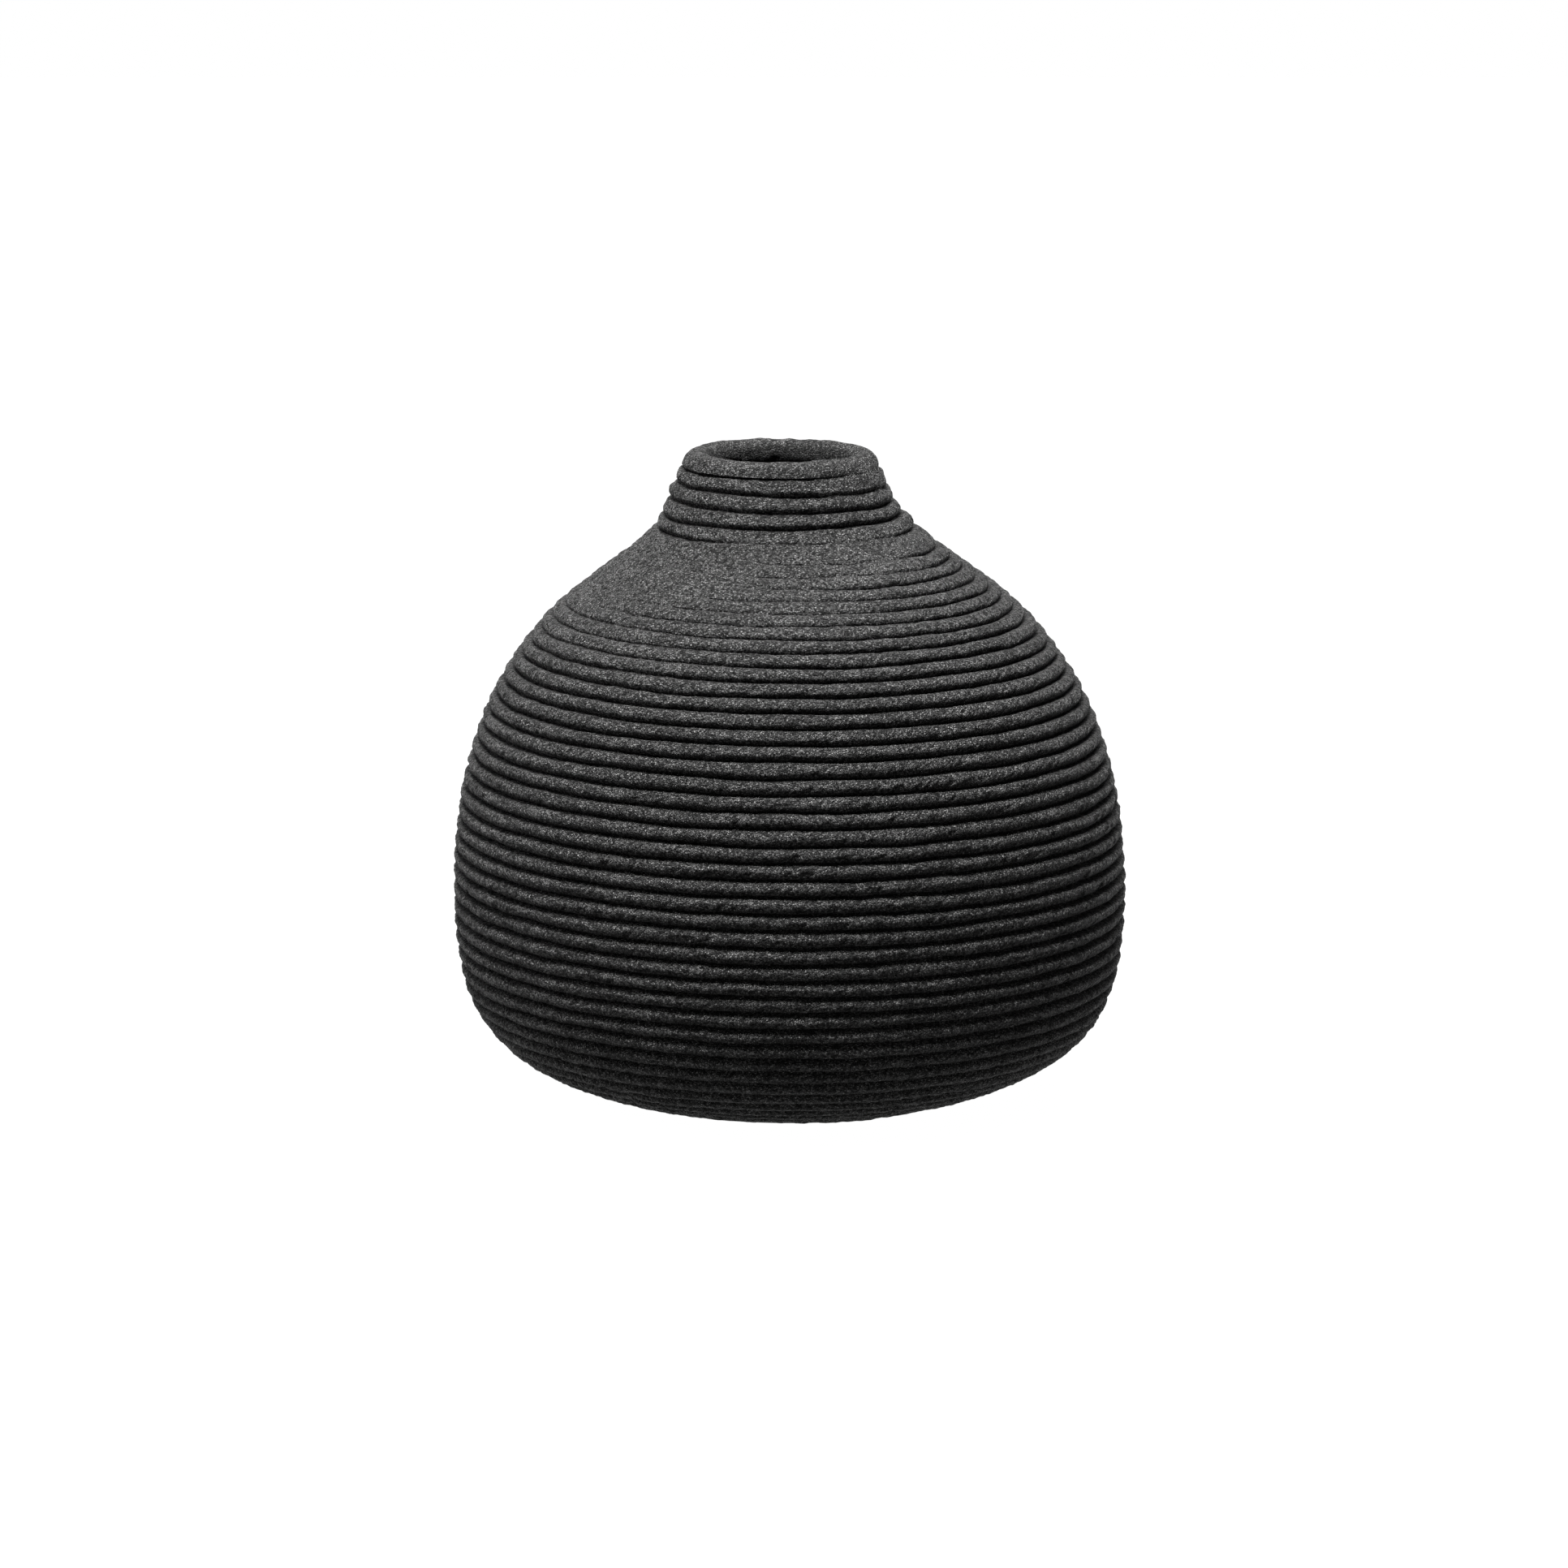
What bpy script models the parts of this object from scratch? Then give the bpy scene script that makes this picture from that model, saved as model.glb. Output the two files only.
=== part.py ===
"""Coil-built stoneware vase, as the raw pieces that the potter lutes together.

A flat clay slab is the base. Ropes of clay are bent into rings and stacked on it, each one bedded on
the ring below with slip, and a rounder rope finishes the rim. Every ring is one rope whose two ends
meet at a slanted joint. Metres, +Z up, origin on the ground under the middle of the belly.
"""

import math

import bpy
from mathutils import Vector

# Driving dimensions: the outside of the wall as the radius and height of its stations
BASE_RADIUS = 0.0454  # the flat disc that the vase stands on
BELLY_RADIUS = 0.080  # the widest ring
BELLY_HEIGHT = 0.0482  # ground to the widest ring
SHOULDER_RADIUS = 0.0522  # where the shoulder stops rounding and starts to sweep up into the neck
SHOULDER_RISE = 0.0692  # widest ring to that place
NECK_RADIUS = 0.0235  # top of the neck, where the rim is bedded
NECK_RISE = 0.0313  # shoulder to that place

# Which way the wall runs at the stations, above the horizontal, and how full it is between them
BASE_LIFT = math.radians(16.3)
BELLY_LIFT = math.radians(90.0)
SHOULDER_LIFT = math.radians(141.1)
NECK_LIFT = math.radians(113.4)
FOOT_FULLNESS = (0.494, 0.510)
SHOULDER_FULLNESS = (0.536, 0.185)
NECK_FULLNESS = (0.667, 0.510)

# Clay
WALL = 0.0062  # wall thickness, square to the wall
SLAB_THICKNESS = 0.0065
RIM_WIDTH = 0.0066
RIM_RISE = 0.0046  # top of the rim above its bed
COIL_BULGE = 0.0007  # how far each rope stands out past the grooves beside it
SLIP_GAP = 0.0003  # room for the slip in every bed and end joint

# How many ropes each course of the wall takes, and how thick they are. The thicknesses are scaled
# together, so that the ropes always fill the wall from the base to the rim.
FOOT_COILS = 7
FOOT_COIL = 0.00456
BODY_COILS = 28
BODY_COIL = 0.0039
SHOULDER_COILS = 6
SHOULDER_COIL = 0.0038
COLLAR_COILS = 1  # a thick rope, pressed flat, ties the neck to the shoulder
COLLAR_COIL = 0.0061
NECK_COILS = 4
NECK_COIL = 0.0040

# Hand-made unevenness
NECK_SHIFT = -0.0021  # the neck stands this far off the belly's centre, along X
NECK_SHIFT_RISE = 0.020  # height over which the wall moves across
NECK_SHIFT_DROP = 0.005  # rim's bed to the top of that stretch
LAY_TILT = math.radians(0.36)  # the rings lie this much lower on their +X side
LAY_TILT_RISE = 0.030  # height over which the level base turns into tilted rings

# End joints, where a rope's two ends meet
JOINT_STAGGER = 11  # facets that each rope's joint moves on from the one below
JOINT_SLANT = math.radians(25.0)

# Mesh
FACETS = 28  # round each ring
OUTLINE_STEPS = 96  # along each stretch of the outline
RIM_STEPS = 6  # over the rim's round top

# What follows from the dimensions above
SHOULDER_TOP = BELLY_HEIGHT + SHOULDER_RISE
NECK_TOP = SHOULDER_TOP + NECK_RISE
COURSES = (
    ("foot", FOOT_COILS, FOOT_COIL),
    ("body", BODY_COILS, BODY_COIL),
    ("shoulder", SHOULDER_COILS, SHOULDER_COIL),
    ("collar", COLLAR_COILS, COLLAR_COIL),
    ("neck", NECK_COILS, NECK_COIL),
)

CLAY_COLOUR = (0.030, 0.030, 0.031, 1.0)
SLAB_COLOUR = (0.038, 0.037, 0.037, 1.0)
CLAY_ROUGHNESS = 0.92


def direction(lift):
    return Vector((math.cos(lift), math.sin(lift)))


def stretch(start, end, start_lift, end_lift, fullness):
    """Evenly timed points on the curve between two stations, as (radius, height)."""
    span = (end - start).length
    leaving = start + direction(start_lift) * span * fullness[0]
    arriving = end - direction(end_lift) * span * fullness[1]
    points = []
    for step in range(OUTLINE_STEPS + 1):
        t = step / OUTLINE_STEPS
        u = 1.0 - t
        points.append(
            start * u**3 + leaving * 3 * u * u * t + arriving * 3 * u * t * t + end * t**3
        )
    return points


def outline():
    """The outside of the wall, from the base to the rim's bed."""
    base = Vector((BASE_RADIUS, 0.0))
    belly = Vector((BELLY_RADIUS, BELLY_HEIGHT))
    shoulder = Vector((SHOULDER_RADIUS, SHOULDER_TOP))
    neck = Vector((NECK_RADIUS, NECK_TOP))
    points = stretch(base, belly, BASE_LIFT, BELLY_LIFT, FOOT_FULLNESS)
    points += stretch(belly, shoulder, BELLY_LIFT, SHOULDER_LIFT, SHOULDER_FULLNESS)[1:]
    points += stretch(shoulder, neck, SHOULDER_LIFT, NECK_LIFT, NECK_FULLNESS)[1:]
    return points


def lay_beds(ropes):
    """The beds that part the wall into ropes, from the base up: each place and the wall's run."""
    points = outline()
    reached = [0.0]
    for a, b in zip(points, points[1:]):
        reached.append(reached[-1] + (b - a).length)
    asked = sum(thickness for _, thickness in ropes)
    beds = [(points[0], direction(BASE_LIFT))]
    laid = 0.0
    for _, thickness in ropes[:-1]:
        laid += thickness
        want = reached[-1] * laid / asked
        i = next(i for i in range(1, len(points)) if reached[i] >= want)
        share = (want - reached[i - 1]) / (reached[i] - reached[i - 1])
        run = (points[i] - points[i - 1]).normalized()
        beds.append((points[i - 1].lerp(points[i], share), run))
    beds.append((points[-1], direction(NECK_LIFT)))
    return beds


def smooth_step(value):
    value = min(max(value, 0.0), 1.0)
    return value * value * (3.0 - 2.0 * value)


def place(radius, height, facet):
    """A corner of the faceted vase, with the rings' tilt and the neck's shift."""
    angle = math.tau * facet / FACETS
    shifted = smooth_step(1.0 - (NECK_TOP - NECK_SHIFT_DROP - height) / NECK_SHIFT_RISE)
    x = radius * math.cos(angle)
    drop = x * math.tan(LAY_TILT) * smooth_step(height / LAY_TILT_RISE)
    return Vector((x + NECK_SHIFT * shifted, radius * math.sin(angle), height - drop))


def place_between(radius, height, facets):
    """A point on the flat facet between two corners, so that neighbours stay parallel there."""
    whole = math.floor(facets)
    return place(radius, height, whole).lerp(place(radius, height, whole + 1), facets - whole)


def inward(along):
    """Square to the wall, towards the inside of the vase."""
    return Vector((-along.y, along.x))


def rope_section(lower, upper):
    """A rope's outline between two beds: grooves at both beds, a crest halfway, a flat inner face."""
    (low, low_along), (high, high_along) = lower, upper
    low = low + low_along * SLIP_GAP / 2
    high = high - high_along * SLIP_GAP / 2
    middle = (low + high) / 2
    return [
        low + inward(low_along) * COIL_BULGE,
        middle,
        high + inward(high_along) * COIL_BULGE,
        high + inward(high_along) * WALL,
        low + inward(low_along) * WALL,
    ]


def rim_section(bed):
    """The rim rope: a round top that leans with the neck, on a flat bed."""
    edge, along = bed
    middle = edge + inward(along) * WALL / 2 + along * SLIP_GAP / 2
    outer = middle - inward(along) * (RIM_WIDTH / 2 - COIL_BULGE)
    inner = middle + inward(along) * (RIM_WIDTH / 2 - COIL_BULGE)
    dome = []
    for step in range(RIM_STEPS + 1):
        turn = math.pi * (step + 0.5) / (RIM_STEPS + 1)
        across = inward(along) * -math.cos(turn) * RIM_WIDTH / 2
        dome.append(middle + across + along * math.sin(turn) * RIM_RISE)
    return [outer, *dome, inner]


def finish(name, vertices, faces, colour):
    """Makes the object with its own matt clay."""
    mesh = bpy.data.meshes.new(name)
    mesh.from_pydata(vertices, [], faces)
    mesh.shade_smooth()
    mesh.set_sharp_from_angle(angle=math.radians(35.0))
    clay = bpy.data.materials.new(name + "_clay")
    clay.use_nodes = True
    shader = clay.node_tree.nodes["Principled BSDF"]
    shader.inputs["Base Color"].default_value = colour
    shader.inputs["Roughness"].default_value = CLAY_ROUGHNESS
    shader.inputs["Metallic"].default_value = 0.0
    mesh.materials.append(clay)
    piece = bpy.data.objects.new(name, mesh)
    bpy.context.collection.objects.link(piece)
    return piece


def bend_rope(name, section, joint):
    """Bends a rope's section round the vase. Its two ends meet in the middle of a facet."""
    corners = len(section)
    heart = sum(section, Vector((0.0, 0.0))) / corners
    stations = [joint + 0.5, *(joint + step for step in range(1, FACETS + 1)), joint + FACETS + 0.5]
    vertices = []
    for station in stations:
        end = {stations[0]: 1, stations[-1]: -1}.get(station, 0)
        for point in section:
            along = end * SLIP_GAP / 2 + abs(end) * math.tan(JOINT_SLANT) * (point.y - heart.y)
            facets = station + along / (math.tau * point.x) * FACETS
            vertices.append(place_between(point.x, point.y, facets))
    faces = []
    for span in range(len(stations) - 1):
        for i in range(corners):
            j = (i + 1) % corners
            a, b = span * corners, (span + 1) * corners
            faces.append((a + i, b + i, b + j, a + j))
    faces.append(tuple(range(corners)))
    faces.append(tuple(len(vertices) - 1 - i for i in range(corners)))
    return finish(name, vertices, faces, CLAY_COLOUR)


def roll_slab(bed):
    """The base: a flat disc whose edge is cut square to the wall, as the first rope's bed."""
    edge, along = bed
    foot = Vector((edge.x - SLIP_GAP / 2 / along.x, 0.0))
    top = foot + inward(along) * SLAB_THICKNESS / inward(along).y
    vertices = []
    for corner in (foot, top):
        for facet in range(FACETS):
            vertices.append(place(corner.x, corner.y, facet))
    faces = [tuple(reversed(range(FACETS))), tuple(range(FACETS, 2 * FACETS))]
    for facet in range(FACETS):
        following = (facet + 1) % FACETS
        faces.append((facet, following, FACETS + following, FACETS + facet))
    return finish("base_slab", vertices, faces, SLAB_COLOUR)


def build():
    for old in list(bpy.data.objects):
        bpy.data.objects.remove(old, do_unlink=True)
    ropes = []
    for course, count, thickness in COURSES:
        ropes += [(f"{course}_coil_{number:02d}", thickness) for number in range(1, count + 1)]
    beds = lay_beds(ropes)
    roll_slab(beds[0])
    joint = 0
    for (name, _), lower, upper in zip(ropes, beds, beds[1:]):
        bend_rope(name, rope_section(lower, upper), joint)
        joint = (joint + JOINT_STAGGER) % FACETS
    bend_rope("rim_coil", rim_section(beds[-1]), joint)


build()
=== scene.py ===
# %% [markdown]
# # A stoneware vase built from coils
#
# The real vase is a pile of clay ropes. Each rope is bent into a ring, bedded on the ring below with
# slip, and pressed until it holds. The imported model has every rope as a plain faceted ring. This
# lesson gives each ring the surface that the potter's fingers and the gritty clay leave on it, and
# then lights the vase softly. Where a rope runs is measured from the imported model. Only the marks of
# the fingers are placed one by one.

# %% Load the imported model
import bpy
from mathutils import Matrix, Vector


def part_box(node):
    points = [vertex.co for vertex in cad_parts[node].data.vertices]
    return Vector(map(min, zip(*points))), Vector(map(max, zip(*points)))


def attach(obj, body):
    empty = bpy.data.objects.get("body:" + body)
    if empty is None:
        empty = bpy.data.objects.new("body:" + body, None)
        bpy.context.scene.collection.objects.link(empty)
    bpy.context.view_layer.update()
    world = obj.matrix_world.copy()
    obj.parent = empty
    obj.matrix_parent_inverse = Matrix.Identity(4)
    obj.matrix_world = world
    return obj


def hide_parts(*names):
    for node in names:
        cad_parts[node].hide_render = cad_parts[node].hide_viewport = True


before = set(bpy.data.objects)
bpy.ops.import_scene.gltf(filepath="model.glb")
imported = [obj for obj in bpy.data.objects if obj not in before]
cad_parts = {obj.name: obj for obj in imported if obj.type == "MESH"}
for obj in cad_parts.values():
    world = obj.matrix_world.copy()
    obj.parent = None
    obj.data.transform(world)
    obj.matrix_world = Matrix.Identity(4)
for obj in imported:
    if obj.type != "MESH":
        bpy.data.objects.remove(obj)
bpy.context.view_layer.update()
print("pieces in the packed model:", len(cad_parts))

# %% Tools used all through
import math

import bpy
import numpy as np
from mathutils import Vector

MM = 0.001
print("Blender", bpy.app.version_string)

# %% [markdown]
# ## Measuring the ropes
#
# A rope's cross-section is cut where the ring crosses the Y axis, because the rings tilt and shift
# along X only. The cut has five corners: a crest that stands out, and two beds with an outer and an
# inner corner each. The corners are sorted round their middle. The two shortest neighbouring edges
# meet at the crest, and the others follow in turn. The ring's size could be typed in again instead,
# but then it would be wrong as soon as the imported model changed.

# %% The ropes in the order in which they were laid
def numbered(course):
    return sorted(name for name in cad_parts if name.startswith(course + "_coil"))


COURSES = ("foot", "body", "shoulder", "collar", "neck")
ROPES = [name for course in COURSES for name in numbered(course)]
print("ropes under the rim:", len(ROPES))

# %% Cut a ring and read its corners
NEAR_CUT = 3.0  # degrees either side of the cut
SAME_CORNER = 5  # decimals of a metre that tell one corner from the next


def corners(node):
    """The corners of a ring's cut as (radius, height), going up the outside and down the inside."""
    points = np.array([vertex.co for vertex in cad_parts[node].data.vertices])
    middle = (points[:, 0].min() + points[:, 0].max()) / 2
    cuts = []
    for side in (1, -1):
        turned = np.degrees(np.arctan2(points[:, 0] - middle, side * points[:, 1]))
        near = points[np.abs(turned) < NEAR_CUT]
        cuts.append({(round(abs(y), SAME_CORNER), round(z, SAME_CORNER)) for _, y, z in near})
    cut = np.array(sorted(min(cuts, key=len)))
    heart = cut.mean(axis=0)
    return cut[np.argsort(np.arctan2(*(cut - heart).T[::-1]))]


def rope_cut(node):
    """Lower and upper bed, each as outer and inner corner, and how far the crest stands out."""
    cut = corners(node)
    edges = np.linalg.norm(np.roll(cut, -1, axis=0) - cut, axis=1)
    crest = int(np.argmin(edges + np.roll(edges, 1)))
    crest, high_out, high_in, low_in, low_out = np.roll(cut, -crest, axis=0)
    wall = (high_out - low_out) / np.linalg.norm(high_out - low_out)
    bulge = np.dot(crest - low_out, (wall[1], -wall[0]))
    return (low_out, low_in), (high_out, high_in), bulge


cuts = [rope_cut(node) for node in ROPES]
print("crests stand out by %.2f mm" % (np.mean([cut[2] for cut in cuts]) / MM))

# %% [markdown]
# Neighbouring ropes leave a thin gap for slip between them. On the fired vase that gap is closed, so
# both ropes are drawn up to a shared bed in its middle. The beds form one list from the base to the
# rim, with the place of each ring's centre and its tilt.

# %% Shared beds, from the base to the rim
def sideways(node):
    """How far a ring's centre lies off the axis along X, and how it climbs along X."""
    points = np.array([vertex.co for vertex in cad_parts[node].data.vertices])
    left, right = points[points[:, 0].argmin()], points[points[:, 0].argmax()]
    return (left[0] + right[0]) / 2, (right[2] - left[2]) / (right[0] - left[0])


def meet(lower, upper):
    return [(np.array(a) + np.array(b)) / 2 for a, b in zip(lower, upper)]


lows = [cut[0] for cut in cuts]
highs = [cut[1] for cut in cuts]
rim_cut = corners("rim_coil")
rim_edges = np.linalg.norm(np.roll(rim_cut, -1, axis=0) - rim_cut, axis=1)
rim_bed = int(np.argmax(rim_edges))
rim_low = (rim_cut[(rim_bed + 1) % len(rim_cut)], rim_cut[rim_bed])
beds = np.array([lows[0], *(meet(a, b) for a, b in zip(highs, lows[1:])), meet(highs[-1], rim_low)])
leans = np.array([sideways(node) for node in [*ROPES, "rim_coil"]])
leans = np.vstack([leans[:1], (leans[:-1] + leans[1:]) / 2])
leans[0, 1] = 0.0
print("beds:", len(beds), "from radius %.1f mm to %.1f mm" % tuple(beds[[0, -1], 0, 0] / MM))

# %% [markdown]
# ## Unevenness that repeats on every run
#
# Clay pressed by hand is uneven at several sizes at once. It could be sculpted, or come from a noise
# texture in a modifier. Here a lattice of fixed pseudo-random numbers, blended smoothly between its
# points, gives a field that can be read at any place in space and is the same on every run. Because
# it is read in space and not along the mesh, neighbouring ropes see the same field and stay joined.

# %% A smooth random field in space
SEED_STEP, SEED_START = 7919, 12345  # keep the lattices of neighbouring seeds far apart
MIXER = np.uint64(0x9E3779B97F4A7C15)  # an odd number with well-mixed bits
MIX_SHIFT, KEPT_SHIFT = np.uint64(29), np.uint64(40)
KEPT_HALF = 2**23  # half of the range of the bits that are kept


def lattice(cells, seed):
    """A fixed pseudo-random number from -1 to 1 for each whole-numbered cell."""
    mixed = np.uint64(seed * SEED_STEP + SEED_START)
    for axis in range(3):
        mixed = (mixed ^ cells[..., axis].astype(np.int64).astype(np.uint64)) * MIXER
        mixed ^= mixed >> MIX_SHIFT
    return (mixed >> KEPT_SHIFT).astype(float) / KEPT_HALF - 1.0


def field(points, size, seed):
    """The field at points. Its lumps have the given size in metres: one size, or one for each axis."""
    spots = points / np.asarray(size)
    cells = np.floor(spots)
    share = spots - cells
    share = share * share * (3.0 - 2.0 * share)
    total = 0.0
    for corner in np.ndindex(2, 2, 2):
        weight = np.prod(np.where(np.array(corner), share, 1.0 - share), axis=-1)
        total = total + weight * lattice(cells + np.array(corner), seed)
    return total


def ramp(values, start, end):
    """0 before start, 1 after end, and smooth between them."""
    share = np.clip((values - start) / (end - start), 0.0, 1.0)
    return share * share * (3.0 - 2.0 * share)


print("field sample:", np.round(field(np.array([[0.01, 0.02, 0.03]]), 0.005, 1), 3))

# %% [markdown]
# ## Where the grooves are smeared shut
#
# The potter drags clay down over the joints to lock the ropes together. On this vase that shows in
# three places: a broad patch over the shoulder on the left of the front, where the grooves are only
# fine broken lines, a small one at the right of the neck, just under the rim, and a narrow one at the
# back. Ropes could be joined there by a remesh, but they have to stay separate pieces, so their
# grooves are filled instead. Angles are counted from the front, and grow towards the right.

# %% Smears
PATCHES = [
    # from, to and soft edge in degrees; from, to and soft edge in metres of height; how full
    ((-150, -80, 70), (0.1195, 0.1325, 0.0020), 0.85),
    ((-104, -46, 24), (0.1172, 0.1325, 0.0012), 1.0),
    ((-70, -24, 18), (0.1200, 0.1325, 0.0012), 1.0),
    ((-44, -2, 22), (0.1225, 0.1325, 0.0012), 0.97),
    ((-24, 56, 30), (0.1264, 0.1325, 0.0012), 0.80),
    ((-50, 22, 30), (0.1175, 0.1268, 0.0012), 0.55),
    ((-36, 64, 22), (0.1325, 0.1352, 0.0010), 0.80),
    ((-115, -15, 50), (0.1080, 0.1200, 0.0030), 0.45),
    ((22, 92, 16), (0.1440, 0.1510, 0.0020), 0.85),
    ((150, 205, 24), (0.1180, 0.1290, 0.0020), 0.70),
]
RAGGED_WAVES = 0.009, 11  # size in metres and seed
RAGGED_RIPPLES = 0.003, 12
RIPPLE_SHARE = 0.4
RAGGED_HEIGHT = 0.0008  # how far a patch's upper and lower edges wander, in metres
RAGGED_TURN = 7.0  # how far its ends wander, in degrees


def smeared(points, turn):
    """How far the grooves are filled at each point, from 0 to 1."""
    wander = field(points, *RAGGED_WAVES) + field(points, *RAGGED_RIPPLES) * RIPPLE_SHARE
    height = points[..., 2] + wander * RAGGED_HEIGHT
    degrees = np.degrees(turn) + wander * RAGGED_TURN
    full = np.zeros(turn.shape)
    for (first, last, soft), (low, high, edge), share in PATCHES:
        off = np.abs((degrees - (first + last) / 2 + 180.0) % 360.0 - 180.0)
        reach = (last - first) / 2
        across = 1.0 - ramp(off, reach - soft / 2, reach + soft / 2)
        upright = ramp(height, low - edge, low + edge)
        upright = upright * (1.0 - ramp(height, high - edge, high + edge))
        full = np.maximum(full, across * upright * share)
    return full


print("smeared patches:", len(PATCHES))

# %% [markdown]
# ## The surface of a rope
#
# A rope is round, and stands between two deep grooves. Its bed lines wander a little up and down, so
# that no two ropes are quite as thick. Under the crest the clay is torn into shallow slanted dents
# where the fingers pulled it down, and fine lumps cover everything. A displacement texture could draw
# this, but the grooves are deeper than they are wide at their floor, and a formula on rows of points
# keeps them clean. So all of this is real geometry, and only the sand in the clay is left to the
# material.

# %% Sizes of the grooves and dents
CREST = 0.00072  # how far a rope stands out past its bed line
# Stages of the wall, as rope numbers, with what the ropes there are like: how far up the rope its
# crest lies, how deep the groove's floor lies under it, and how deeply fingers dented the rope.
# Between them the values run straight.
STAGES = (0, 18, 27, 32, 37, 41, 42, 47)
CREST_PLACES = (0.54, 0.54, 0.45, 0.43, 0.43, 0.43, 0.38, 0.38)
GROOVE_DEPTHS = (0.00190, 0.00190, 0.00170, 0.00130, 0.00080, 0.00090, 0.00110, 0.00110)
DENTS = (0.00008, 0.00008, 0.00010, 0.00012, 0.00016, 0.00018, 0.00034, 0.00034)
ROUND_END = 0.87  # how far up the rope its round part reaches; the rest is the groove
SLOT_DEPTH = 0.00040  # the last narrow part of a groove, below that
SLOT_WIDTH = 0.00034
print("grooves: %.1f to %.1f mm deep" % (min(GROOVE_DEPTHS) / MM, max(GROOVE_DEPTHS) / MM))

# %% Rings in space
def around(radius, height, middle, tilt, turn):
    """Points on rings: turn is 0 at the front and grows towards the right."""
    x = radius * np.sin(turn)
    return np.stack([middle + x, -radius * np.cos(turn), height + tilt * x], axis=-1)


# Beds of the neck weren't laid level: metres by which each one climbs to the right of the front.
# The keys count the beds down from the rim.
ASKEW = {1: -0.00045, 2: 0.00025, 3: 0.00090, 4: 0.00020}
BED_WAVES = (0.012, 0.012, 0.0019), 21  # lump size along X, Y and Z in metres, and seed
BED_RIPPLES = (0.004, 0.004, 0.0019), 22
BED_WANDER = 0.00027  # how far a bed line wanders along the wall
OUTSIDE, INSIDE = 0, 1  # a bed's two edges


def bed_line(number, turn, edge):
    """A bed's outer or inner edge all round. The outer one wanders along the wall."""
    radius, height = beds[number, edge]
    middle, tilt = leans[number]
    line = around(radius, height, middle, tilt, turn)
    if number == 0 or edge == INSIDE:
        return line
    below, above = beds[number - 1, edge], beds[min(number + 1, len(beds) - 1), edge]
    run = (above - below) / np.linalg.norm(above - below)
    wander = field(line, *BED_WAVES) * BED_WANDER
    wander = wander + field(line, *BED_RIPPLES) * BED_WANDER * 0.5
    wander = wander + ASKEW.get(len(beds) - 1 - number, 0.0) * np.sin(turn)
    return line + outward(run, turn) * np.expand_dims(wander, -1)


def outward(direction, turn):
    """Turns a direction of the cut, as (away from the axis, up), round with the ring."""
    away, up = direction
    return np.stack([away * np.sin(turn), -away * np.cos(turn), np.full(turn.shape, up)], axis=-1)


print("uneven beds in the neck:", len(ASKEW))

# %% [markdown]
# Across a rope the surface is half a circle up to its shoulder, then the groove falls away. The
# narrow bottom of the groove is a separate slot, because it is the last thing that a smear closes:
# where the groove is nearly full, the slot is left as a line of short dashes.

# %% The groove beside a rope
DASHES = (0.0034, 0.0034, 0.0012)
DASH_SEED = 31  # neighbouring ropes take turns at this seed and the next
DASH_RAMP = -0.30, 0.05
DASH_SHARE = 0.7  # how much of the slot a dash keeps
SLOT_CLOSES = 0.90, 0.99  # how full the groove is when the last dashes go


def roundness(share, crest_place):
    """1 on the crest, falling along a circle to 0 in the groove."""
    off = share - crest_place
    off = min(off / (ROUND_END - crest_place) if off > 0 else -off / crest_place, 1.0)
    return math.sqrt(1.0 - off * off)


def slot(place, number, to_edge, full):
    """How deep the narrow part of the groove is, to_edge metres away from the bed."""
    dashes = ramp(field(place, DASHES, DASH_SEED + number % 2), *DASH_RAMP)
    deep = math.exp(-((to_edge / SLOT_WIDTH) ** 2)) * SLOT_DEPTH
    return deep * (1.0 - full * (1.0 - DASH_SHARE * dashes)) * (1.0 - ramp(full, *SLOT_CLOSES))


print("roundness at a third of a rope: %.2f" % roundness(1 / 3, CREST_PLACES[0]))

# %% [markdown]
# Tears lean, because the fingers moved sideways as well as down. The field has no direction of its
# own, so it is read at points that are turned round the axis the more the higher they are.

# %% Tears under the crest
TWIST = 0.065  # metres of height over which the tears lean one radian round the vase
TEARS = (0.0015, 0.0015, 0.0030), 51
TEAR_RAMP = 0.05, 0.80
TEAR_DEPTH = 0.00052
TEAR_BAND = (0.02, 0.14), (0.30, 0.66)  # where up the rope tears begin, and where they fade out
ROUGH_PLACES = (0.011, 0.011, 0.006), 52
ROUGH_RAMP = -0.3, 0.5
SMOOTH_PLACES_TORN = 0.45  # how much the smoothest places are torn


def slanted(points, turn):
    """Points turned round the axis more the higher they are, which slants what is read there."""
    radius = np.hypot(points[..., 0], points[..., 1])
    turned = turn - points[..., 2] / TWIST
    return np.stack([radius * np.sin(turned), -radius * np.cos(turned), points[..., 2]], axis=-1)


def tears(place, turn, share):
    """How torn each point is, from 0 to 1."""
    begin, fade = TEAR_BAND
    under = ramp(share, *begin) * (1.0 - ramp(share, *fade))
    torn = ramp(field(slanted(place, turn), *TEARS), *TEAR_RAMP)
    rough = ramp(field(place, *ROUGH_PLACES), *ROUGH_RAMP)
    return torn * (SMOOTH_PLACES_TORN + (1.0 - SMOOTH_PLACES_TORN) * rough) * under


print("tears: up to %.2f mm deep" % (TEAR_DEPTH / MM))

# %% Lumps, dents and lost grains
ROPE_WAVES = (0.016, 0.016, 0.006), 41
ROPE_WANDER = 0.00015
LUMPS = (0.0017, 0.0017, 0.0013), 61
FINE_LUMPS = 0.0009, 62
LUMP_HEIGHT = 0.00016
FINE_SHARE = 0.7
FINGER_DENTS = (0.0045, 0.0045, 0.0026), 63
PITS = [(5.0, 0.1258, 0.00085, 0.00070)]  # grains that fell out: turn, height, size and depth


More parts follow.
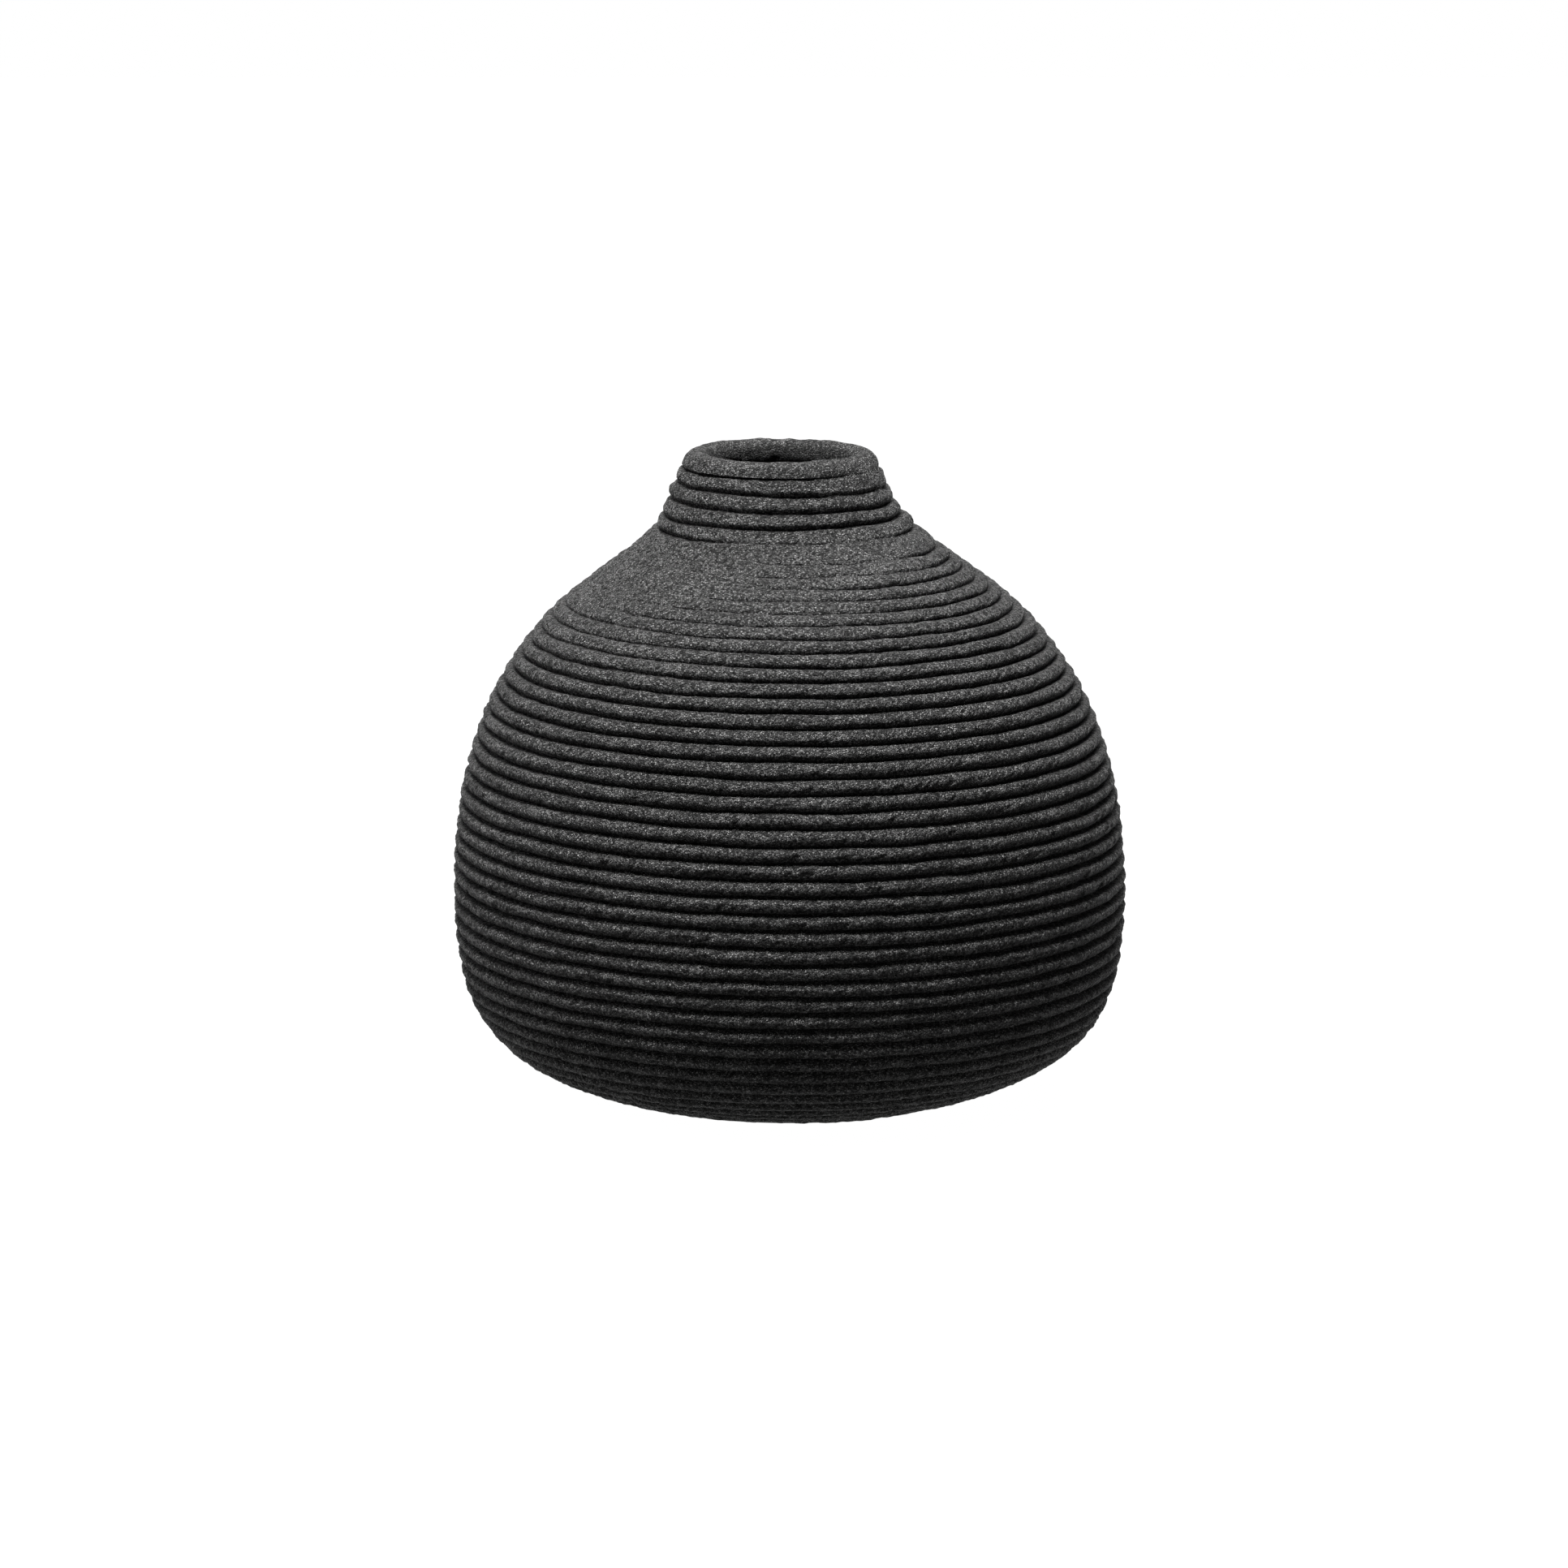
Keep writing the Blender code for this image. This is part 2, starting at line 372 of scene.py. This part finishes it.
def lumps(place, dents):
    """How far lumps and finger dents lift the surface."""
    rise = field(place, *LUMPS) * LUMP_HEIGHT
    rise += field(place, *FINE_LUMPS) * LUMP_HEIGHT * FINE_SHARE
    return rise + field(place, *FINGER_DENTS) * dents


def pits(place, turn, radius):
    """How deep the places of lost grains are."""
    deep = 0.0
    for pit_turn, height, size, depth in PITS:
        beside = (turn - math.radians(pit_turn)) * radius
        gap = np.hypot(beside, place[:, 2] - height)
        deep = deep + depth * np.exp(-((gap / size) ** 4))
    return deep


print("lost grains:", len(PITS))

# %% The outer face of one rope
OUTER_STEPS = 20
SMEAR_COVERS = 0.7  # how much of a tear's depth a smear takes away
TEAR_DARKENING = 0.5  # how much darker a torn place is coloured


def rope_face(number, turn):
    """Rows of points up the outside of rope number, and how light each point is coloured: paler on the
    crest from wear, darker in tears, and painted shade in the groove.
    """
    low, high = bed_line(number, turn, OUTSIDE), bed_line(number + 1, turn, OUTSIDE)
    run = beds[number + 1, OUTSIDE] - beds[number, OUTSIDE]
    pitch = np.linalg.norm(run)
    out = outward(np.array([run[1], -run[0]]) / pitch, turn)
    stage = [np.interp(number, STAGES, values) for values in (CREST_PLACES, GROOVE_DEPTHS, DENTS)]
    crest_place, depth, dents = stage
    rows, wear_and_shade = [], []
    for step in range(OUTER_STEPS + 1):
        share = 0.5 - 0.5 * math.cos(math.pi * step / OUTER_STEPS)
        place = low + (high - low) * share
        crest = roundness(share, crest_place)
        full = smeared(place, turn)
        torn = tears(place, turn, share)
        rise = CREST - depth * (1.0 - crest) * (1.0 - full)
        rise -= slot(place, number, min(share, 1.0 - share) * pitch, full)
        rise += field(place, *ROPE_WAVES) * ROPE_WANDER + lumps(place, dents)
        rise -= torn * TEAR_DEPTH * (1.0 - SMEAR_COVERS * full)
        rise -= pits(place, turn, beds[number, OUTSIDE][0])
        rows.append(place + out * np.expand_dims(rise, -1))
        # Colour: the crest is paler from wear, and the groove is painted darker as shade except where a
        # smear fills it; tears are darker too.
        wear_and_shade.append(np.clip(crest + full, 0.0, 1.0) - TEAR_DARKENING * torn)
    return rows, wear_and_shade


print("rows of points up a rope:", OUTER_STEPS + 1)

# %% [markdown]
# The inside was smoothed with a rib while the clay was soft, so the inner face of a rope is one gentle
# curve with only a trace of the joint.

# %% The inner face of one rope
INNER_STEPS = 4
INSIDE_SHADE = -2.2  # painted shade: the inside of the vase is coloured much darker, for the shade that falls there
RIB_WAVES = (0.010, 0.010, 0.004), 71
RIB_MARK = 0.00018


def inner_face(number, turn):
    """Rows of points down the inside of rope number."""
    low, high = bed_line(number, turn, INSIDE), bed_line(number + 1, turn, INSIDE)
    run = beds[number + 1, INSIDE] - beds[number, INSIDE]
    out = outward(np.array([run[1], -run[0]]) / np.linalg.norm(run), turn)
    rows = []
    for step in range(INNER_STEPS + 1):
        share = 1.0 - step / INNER_STEPS
        place = low + (high - low) * share
        rise = field(place, *RIB_WAVES) * RIB_MARK
        rise -= math.sin(math.pi * share) * RIB_MARK * 0.5
        rows.append(place + out * np.expand_dims(rise, -1))
    return rows


print("rows of points down the inside:", INNER_STEPS + 1)

# %% [markdown]
# ## From rows of points to a closed mesh
#
# Each ring is a loop of rows, every row a closed circle of points, so the mesh is a torus of quads. It
# could be made with bmesh, but filling Blender's arrays straight from numpy takes a fraction of the
# time on meshes this fine. How light each point is coloured is stored as an attribute for the material:
# paler crests from wear, and painted shade in the grooves and inside.

# %% Mesh maker
FACE_WIDTH = 0.00045  # spacing of the points round a ring
EDGE_ANGLE = math.radians(55)


def turns(radius):
    """Angles of the points round a ring of this radius."""
    count = int(math.tau * radius / FACE_WIDTH)
    return np.arange(count) * math.tau / count


def build(name, points, quads, triangles, wear_and_shade):
    """A mesh object from points and faces, with the attribute for paler crests and painted shade."""
    mesh = bpy.data.meshes.new(name)
    mesh.vertices.add(len(points))
    mesh.vertices.foreach_set("co", points.astype(np.float32).ravel())
    loops = np.concatenate([quads.ravel(), triangles.ravel()]).astype(np.int32)
    mesh.loops.add(len(loops))
    mesh.loops.foreach_set("vertex_index", loops)
    sizes = np.concatenate([np.full(len(quads), 4), np.full(len(triangles), 3)])
    mesh.polygons.add(len(sizes))
    mesh.polygons.foreach_set("loop_start", (np.cumsum(sizes) - sizes).astype(np.int32))
    mesh.update(calc_edges=True)
    mesh.shade_smooth()
    mesh.set_sharp_from_angle(angle=EDGE_ANGLE)
    layer = mesh.attributes.new("wear_and_shade", "FLOAT", "POINT")
    layer.data.foreach_set("value", wear_and_shade.astype(np.float32).ravel())
    piece = bpy.data.objects.new(name, mesh)
    bpy.context.collection.objects.link(piece)
    return piece


def grid(rows, columns, wrap_rows):
    """Quads over rows of closed circles. With wrap_rows the last row joins the first."""
    row = np.arange(rows if wrap_rows else rows - 1)[:, None]
    column = np.arange(columns)[None, :]
    above, beside = (row + 1) % rows, (column + 1) % columns
    a, b = row * columns + column, row * columns + beside
    c, d = above * columns + beside, above * columns + column
    return np.stack([a, b, c, d], axis=-1).reshape(-1, 4)


NO_TRIANGLES = np.empty((0, 3), int)


def ring(name, outer, wear_and_shade, inner):
    """A closed ring from rows up its outside and down its inside."""
    rows = np.array([*outer, *inner])
    # The inside rows all take the painted shade of the inside.
    wear_and_shade_level = np.array([*wear_and_shade, *(np.full(inner[0].shape[:1], INSIDE_SHADE) for _ in inner)])
    faces = grid(len(rows), rows.shape[1], True)
    return build(name, rows.reshape(-1, 3), faces, NO_TRIANGLES, wear_and_shade_level)


print("points round the widest rope:", len(turns(beds[:, OUTSIDE, 0].max())))

# %% Make the ropes
made = {}
for number, node in enumerate(ROPES):
    turn = turns(beds[number, OUTSIDE, 0])
    face, wear_and_shade = rope_face(number, turn)
    made[node] = ring(node + "_fired", face, wear_and_shade, inner_face(number, turn))
print("ropes:", len(made), "faces:", sum(len(piece.data.polygons) for piece in made.values()))

# %% [markdown]
# ## The rim
#
# The last rope is left rounder than the rest: nothing presses on it but a wet finger. Its cut is an
# ellipse that leans with the neck and is cut off by the bed it stands on. A torus would do for a level
# rim, but it can't lean, and it has no flat bed.

# %% Size of the rim
RIM_SINK = 0.38  # how much of the ellipse's half-height lies under its widest place
bed_out, bed_in = beds[-1]
across = (bed_out - bed_in) / np.linalg.norm(bed_out - bed_in)
up = np.array([-across[1], across[0]])
rim_rise = max(np.dot(corner - bed_in, up) for corner in rim_cut)
reach = [np.dot(corner - bed_in, across) for corner in rim_cut]
rim_half = (max(reach) - min(reach)) / 2
half_height = rim_rise / (1 + RIM_SINK)
rim_heart = (bed_out + bed_in) / 2 + up * half_height * RIM_SINK
print("rim: %.1f mm wide, %.1f mm high" % (2 * rim_half / MM, rim_rise / MM))

# %% Rim
RIM_STEPS = 30
RIM_FINENESS = 0.03  # the rim's points are as close as on a ring of this radius
RIM_WAVES = (0.011, 0.011, 0.006), 81
RIM_WANDER = 0.00030
RIM_LUMPS = 0.0035, 82
RIM_LUMP_HEIGHT = 0.00022
RIM_FINE_LUMPS = 0.0012, 83
RIM_RUB, RIM_TOP_RUB = 0.55, 0.45  # how pale its side is from wear, and how much paler its top
RIM_INSIDE = math.radians(95), math.radians(135)  # where it turns to the painted shade of the inside


def rim_rows(turn):
    """Rows of points over the rim from its outer bed edge to the inner one, and how light they are
    coloured: paler on top from wear, and painted shade on the inner side.
    """
    middle, tilt = leans[-1]
    start = -math.asin(RIM_SINK)
    rows, wear_and_shade = [], []
    for step in range(RIM_STEPS + 1):
        angle = start + (math.pi - 2 * start) * step / RIM_STEPS
        aside, above = across * math.cos(angle), up * math.sin(angle)
        place = around(*(rim_heart + aside * rim_half + above * half_height), middle, tilt, turn)
        rise = field(place, *RIM_WAVES) * RIM_WANDER + field(place, *RIM_LUMPS) * RIM_LUMP_HEIGHT
        rise += field(place, *RIM_FINE_LUMPS) * LUMP_HEIGHT
        rows.append(place + outward(aside + above, turn) * np.expand_dims(rise, -1))
        # The inner side of the rim is painted dark, as shade like the inside of the vase.
        inside = ramp(np.full(turn.shape, angle), *RIM_INSIDE)
        wear_and_shade_level = RIM_RUB + RIM_TOP_RUB * math.sin(max(angle, 0.0))
        wear_and_shade.append(wear_and_shade_level + (INSIDE_SHADE - RIM_RUB) * inside)
    return rows, wear_and_shade


rim_turn = turns(RIM_FINENESS)
rim_face, rim_wear_and_shade = rim_rows(rim_turn)
bed_rows = [bed_line(len(beds) - 1, rim_turn, edge) for edge in (INSIDE, OUTSIDE)]
made["rim_coil"] = ring("rim_coil_fired", rim_face, rim_wear_and_shade, bed_rows)
print("rim faces:", len(made["rim_coil"].data.polygons))

# %% [markdown]
# ## The base
#
# The base is a slab of the same clay, beaten flat. Its underside was wiped before firing, so it has a
# softened edge, and between edge and middle it is hollow by about a tenth of a millimetre, unevenly.
# A cylinder with a bevel would be too flat. So it is a solid of turned rows, closed by a fan of
# triangles at each middle.

# %% Rows of the base slab
SLAB_ROWS = 26
SLAB_MIDDLE = 0.002  # radius of the two fans
EDGE_ROUND = 0.0006  # how much of the underside the softened edge takes
EDGE_STEP = 0.3  # how far along and up that edge its one row between stands
HOLLOW = 0.00012
HOLLOW_WAVES = (0.006, 0.006, 0.006), 91


def level_ring(radius, height):
    return around(radius, height, 0.0, 0.0, turn)


slab_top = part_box("base_slab")[1][2]
base_out, base_in = beds[0]
turn = turns(base_out[0])
slant = (slab_top - base_in[1]) / (base_in[1] - base_out[1])
edge = base_in + (base_in - base_out) * slant
under_radii = np.linspace(SLAB_MIDDLE, base_out[0] - EDGE_ROUND, SLAB_ROWS)
top_radii = np.linspace(edge[0], SLAB_MIDDLE, SLAB_ROWS)
under_rows = [level_ring(radius, 0.0) for radius in under_radii]
rounding = level_ring(base_out[0] - EDGE_ROUND * EDGE_STEP, base_out[1] * EDGE_STEP)
top_rows = [level_ring(radius, slab_top) for radius in top_radii]
rows = np.array([*under_rows, rounding, level_ring(*base_out), *top_rows])
hollow = rows[1 : SLAB_ROWS - 2]
hollow[..., 2] += HOLLOW * (1.0 + field(hollow, *HOLLOW_WAVES))
print("base slab: %.1f mm thick" % (slab_top / MM))

# %% Base slab
FAN_LIFT = 0.0001  # how far the very middle of the underside clears the ground
SLAB_RUB = 0.7
points = np.vstack([rows.reshape(-1, 3), [[0, 0, FAN_LIFT], [0, 0, slab_top]]])
first, last = len(points) - 2, len(points) - 1
columns = len(turn)
here = np.arange(columns)
beside = (here + 1) % columns
shift = (len(rows) - 1) * columns
fan_under = np.stack([np.full(columns, first), beside, here], axis=-1)
fan_top = np.stack([np.full(columns, last), shift + here, shift + beside], axis=-1)
made["base_slab"] = build(
    "base_slab_fired",
    points,
    grid(len(rows), columns, False),
    np.vstack([fan_under, fan_top]),
    np.full(len(points), SLAB_RUB),
)
print("base slab faces:", len(made["base_slab"].data.polygons))

# %% [markdown]
# ## Who stands for what
#
# Every fired piece stands for the imported ring of the same name, which is hidden. The vase has no
# moving part, so all of them ride on the one body.

# %% Hand the pieces over
BODY = "root"
BARE = "base_slab"
for node, piece in made.items():
    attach(piece, BODY)
    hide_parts(node)
    "bare_base" if node == BARE else "stoneware"
print("pieces handed over:", len(made))

# %% [markdown]
# ## Writing shaders as sums
#
# A procedural clay takes a few dozen nodes. They read better as sums, so one small class wraps a
# socket: + - * / and ** on it add Math nodes, and its node method adds anything else.

# %% A socket that can be reckoned with
COLOUR_A, COLOUR_B = 6, 7  # a Mix node's colour inputs
COLOUR_RESULT = 2  # and its colour output


class Wire:
    """A socket of a node tree. Sums on it add Math nodes."""

    def __init__(self, tree, socket=None):
        self.tree, self.socket = tree, socket

    def node(self, kind, settings, inputs, output=0):
        """Adds a node: settings first, then the values or links of its sockets."""
        new = self.tree.nodes.new(kind)
        for name, value in settings.items():
            setattr(new, name, value)
        for name, value in inputs.items():
            if isinstance(value, Wire):
                self.tree.links.new(value.socket, new.inputs[name])
            else:
                new.inputs[name].default_value = value
        return Wire(self.tree, new.outputs[output])

    def sum(self, operation, *values):
        return self.node("ShaderNodeMath", {"operation": operation}, dict(enumerate(values)))

    def __add__(self, other):
        return self.sum("ADD", self, other)

    def __sub__(self, other):
        return self.sum("SUBTRACT", self, other)

    def __rsub__(self, other):
        return self.sum("SUBTRACT", other, self)

    def __mul__(self, other):
        return self.sum("MULTIPLY", self, other)

    def __pow__(self, other):
        return self.sum("POWER", self, other)

    __radd__, __rmul__ = __add__, __mul__

    def between(self, start, end):
        """0 at start, 1 at end, smooth between."""
        settings = {"interpolation_type": "SMOOTHSTEP"}
        inputs = {"Value": self, "From Min": start, "From Max": end}
        return self.node("ShaderNodeMapRange", settings, inputs)

    def blend(self, dark, light):
        """A colour from dark to light as this value goes from 0 to 1."""
        inputs = {"Factor": self, COLOUR_A: dark, COLOUR_B: light}
        return self.node("ShaderNodeMix", {"data_type": "RGBA"}, inputs, COLOUR_RESULT)


def grey(level, warmth=0.0):
    """A nearly neutral colour: warmth above 0 leans to brown."""
    return (level * (1 + warmth), level, level * (1 - warmth), 1.0)


print("a mid grey:", grey(0.2))

# %% [markdown]
# ## Gritty stoneware
#
# The clay is dark and full of grog, which is fired clay crushed to grains of about half a millimetre.
# Firing leaves the surface dull and a little paler where fingers wore it, and the grooves and the
# inside are painted darker as shade. The clay between the grains is nearly black, and every grain is a
# grey of its own: most are dark and a few are pale, and the pale ones are partly painted glints that
# stand in for light catching the grains. An image texture would stretch over so round a shape. Voronoi
# cells in space are as good as grains wherever they are cut. The grains are far too fine for the mesh,
# so they go through a bump, while the colour follows the attribute that the mesh carries, with its
# paler crests and painted shade.

# %% Stoneware
GROG_SIZE = 0.46  # millimetres, like all lengths in the nodes
GRIT_SIZE = 0.32
PATCH_SIZE = 3.2
CLOUD_SIZE = 14.0
GRAIN_EDGE = 0.10, 0.68  # from a grain's middle, in cells: where it starts to fall, and where it ends
DULLNESS = 0.62  # roughness of the darkest grains
GLINT = 0.30  # how much smoother the palest ones are
SHEEN_LEVEL = 0.14  # unglazed clay mirrors less than other things do
GRAIN_WARMTH = 0.01


def clay(name, dark, light, grain_height):
    """Gritty clay, from the dark between its grains to the lightest one. grain_height is in metres."""
    material = bpy.data.materials.new(name)
    material.use_nodes = True
    tree = material.node_tree
    shader = tree.nodes["Principled BSDF"]
    start = Wire(tree)
    spot = start.node("ShaderNodeTexCoord", {}, {}, "Object")
    spot = start.node("ShaderNodeVectorMath", {"operation": "SCALE"}, {0: spot, "Scale": 1 / MM})
    # This attribute holds the paler crests and the painted shade of the grooves and the inside.
    wear_and_shade = start.node("ShaderNodeAttribute", {"attribute_name": "wear_and_shade"}, {}, "Fac")

    def noise(size, detail, roughness):
        """Noise from 0 to 1, with lumps of the given size."""
        inputs = {"Vector": spot, "Scale": 1 / size, "Detail": detail, "Roughness": roughness}
        return start.node("ShaderNodeTexNoise", {}, inputs)

    grog = {"Vector": spot, "Scale": 1 / GROG_SIZE, "Randomness": 1.0}
    from_grain = start.node("ShaderNodeTexVoronoi", {}, grog, "Distance")
    dice = start.node("ShaderNodeTexVoronoi", {}, grog, "Color")
    luck = start.node("ShaderNodeSeparateColor", {}, {0: dice}, "Red")
    dome = 1.0 - from_grain.between(*GRAIN_EDGE)
    cloud = noise(CLOUD_SIZE, 2.0, 0.5).between(0.30, 0.70)
    patch = noise(PATCH_SIZE, 3.0, 0.6).between(0.25, 0.75)
    grit = noise(GRIT_SIZE, 2.0, 0.60).between(0.34, 0.68)

    # Large shades add up: random clouds and patches, paler crests from wear, and painted shade in the
    # grooves and inside. The grains' shades are a product, so the clay between them stays dark, and
    # their pale grains are partly painted glints.
    tone = 0.48 + 0.24 * wear_and_shade + 0.22 * cloud + 0.36 * patch
    speck_and_glint = luck**1.5 * (0.3 + 0.7 * dome) * (0.3 + grit)
    colour = (tone * speck_and_glint).blend(grey(dark), grey(light, GRAIN_WARMTH))
    tree.links.new(colour.socket, shader.inputs["Base Color"])
    rough = DULLNESS - GLINT * luck
    tree.links.new(rough.socket, shader.inputs["Roughness"])
    shader.inputs["Metallic"].default_value = 0.0
    shader.inputs["Specular IOR Level"].default_value = SHEEN_LEVEL

    # Pale grains stand highest, and fine grit covers them and the clay between
    height = 0.9 * dome * (0.3 + 0.7 * luck) + 0.7 * grit
    relief = {"Height": height, "Distance": grain_height, "Strength": 1.0}
    bump = start.node("ShaderNodeBump", {}, relief)
    tree.links.new(bump.socket, shader.inputs["Normal"])
    print(name, "nodes:", len(tree.nodes))
    return material


stoneware = clay("gritty_stoneware", dark=0.003, light=0.320, grain_height=0.00090)

# %% [markdown]
# The underside was wiped with a wet sponge before firing, which washes fine clay over the grains. So
# the base is the same clay, with grains that hardly stand out and differ less in shade. The same
# function makes it, with other numbers.

# %% Wiped base
wiped = clay("wiped_base_clay", dark=0.020, light=0.180, grain_height=0.00012)
for node, piece in made.items():
    piece.data.materials.append(wiped if node == BARE else stoneware)
print("pieces with wiped clay:", sum(piece.data.materials[0] == wiped for piece in made.values()))

# %% [markdown]
# ## Floor and surroundings
#
# The vase stands in an evenly lit white studio. The floor is black and glows, so it takes no shadow
# and ends without a visible edge. The surroundings glow in the same way. Both look plain white, but a
# Light Path node tells looking at them from being lit by them, and they light the clay with less than
# half of that. A white floor under strong lamps could do it too, but it would light the clay's
# undersides so much that the grooves would look shallow.

# %% Floor
FLOOR_SIZE = 6.0
FLOOR_DROP = 0.0002  # keeps the floor and the underside of the base apart
FLOOR_GLOW = 0.44  # how brightly it lights the clay from below
half = FLOOR_SIZE / 2
floor_corners = [(-half, -half, 0), (half, -half, 0), (half, half, 0), (-half, half, 0)]
floor_mesh = bpy.data.meshes.new("studio_floor")
floor_mesh.from_pydata(floor_corners, [], [(0, 1, 2, 3)])
floor = bpy.data.objects.new("studio_floor", floor_mesh)
bpy.context.collection.objects.link(floor)
floor.location.z = -FLOOR_DROP
pale = bpy.data.materials.new("pale_floor")
pale.use_nodes = True
shader = pale.node_tree.nodes["Principled BSDF"]
shader.inputs["Base Color"].default_value = grey(0.0)
shader.inputs["Roughness"].default_value = 0.9
shader.inputs["Emission Color"].default_value = grey(1.0)
start = Wire(pale.node_tree)
seen = start.node("ShaderNodeLightPath", {}, {}, "Is Camera Ray")
glow = FLOOR_GLOW + (1.0 - FLOOR_GLOW) * seen
pale.node_tree.links.new(glow.socket, shader.inputs["Emission Strength"])
floor_mesh.materials.append(pale)
print("floor: %.0f m wide" % FLOOR_SIZE)

# %% Surroundings
AMBIENT = 0.13  # how brightly they light the clay from above
DIM_BELOW, FULL_ABOVE = -1.0, 0.6  # heights on the sky between which that light grows
world = bpy.data.worlds.new("white_studio")
world.use_nodes = True
bpy.context.scene.world = world
tree = world.node_tree
start = Wire(tree)
seen = start.node("ShaderNodeLightPath", {}, {}, "Is Camera Ray")
sky = start.node("ShaderNodeTexCoord", {}, {}, "Generated")
rise = start.node("ShaderNodeSeparateXYZ", {}, {0: sky}, "Z")
strength = seen + (1.0 - seen) * AMBIENT * rise.between(DIM_BELOW, FULL_ABOVE)
tree.links.new(strength.socket, tree.nodes["Background"].inputs["Strength"])
tree.nodes["Background"].inputs["Color"].default_value = grey(1.0)
bpy.context.scene.view_settings.view_transform = "Standard"
print("light from the surroundings:", AMBIENT)

# %% [markdown]
# ## Light
#
# Grooves only show when light falls along the wall. So the main softbox hangs almost straight above,
# a little in front and to the left, which gives every rope a pale upper side and leaves the grooves
# dark. A weak one on the left draws that edge, and one high behind keeps the far side from going
# black.

# %% Softboxes
VASE_MIDDLE = (0.0, 0.0, 0.075)


def softbox(name, turn, lift, distance, size, power):
    """A square light aimed at the vase: turn is 0 at the front and grows towards the right."""
    lamp = bpy.data.lights.new(name, "AREA")
    lamp.shape, lamp.size, lamp.energy = "SQUARE", size, power
    holder = bpy.data.objects.new(name, lamp)
    bpy.context.collection.objects.link(holder)
    turn, lift = math.radians(turn), math.radians(lift)
    level = math.cos(lift)
    away = np.array([math.sin(turn) * level, -math.cos(turn) * level, math.sin(lift)])
    holder.location = np.array(VASE_MIDDLE) + away * distance
    holder.rotation_euler = Vector([*(-away)]).to_track_quat("-Z", "Y").to_euler()
    holder.visible_camera = False


LIGHTS = [
    # name; turn and lift in degrees; distance and size in metres; power in watts
    ("top", -25, 76, 1.25, 0.6, 71.0),
    ("left", -80, 38, 1.3, 0.7, 7.5),
    ("behind", 160, 58, 1.3, 0.8, 17.0),
]
for light in LIGHTS:
    softbox(*light)
print("softboxes:", len(LIGHTS))

# %% [markdown]
# ## Camera
#
# A long lens far away keeps the vase's outline nearly free of perspective. It looks down a little, so
# that the mouth shows as a narrow ellipse.

# %% Camera
LENS = 144.7  # millimetres
SENSOR = 36.0
CAMERA_DISTANCE = 1.5
CAMERA_LIFT = math.radians(10.96)
AIM = Vector((-0.0013, 0.0, 0.0719))
camera_data = bpy.data.cameras.new("camera")
camera_data.lens, camera_data.sensor_width = LENS, SENSOR
camera = bpy.data.objects.new("camera", camera_data)
bpy.context.collection.objects.link(camera)
back = Vector((0.0, -math.cos(CAMERA_LIFT), math.sin(CAMERA_LIFT)))
camera.location = AIM + back * CAMERA_DISTANCE
camera.rotation_euler = (-back).to_track_quat("-Z", "Y").to_euler()
bpy.context.scene.camera = camera
print("camera stands %.2f m up" % camera.location.z)
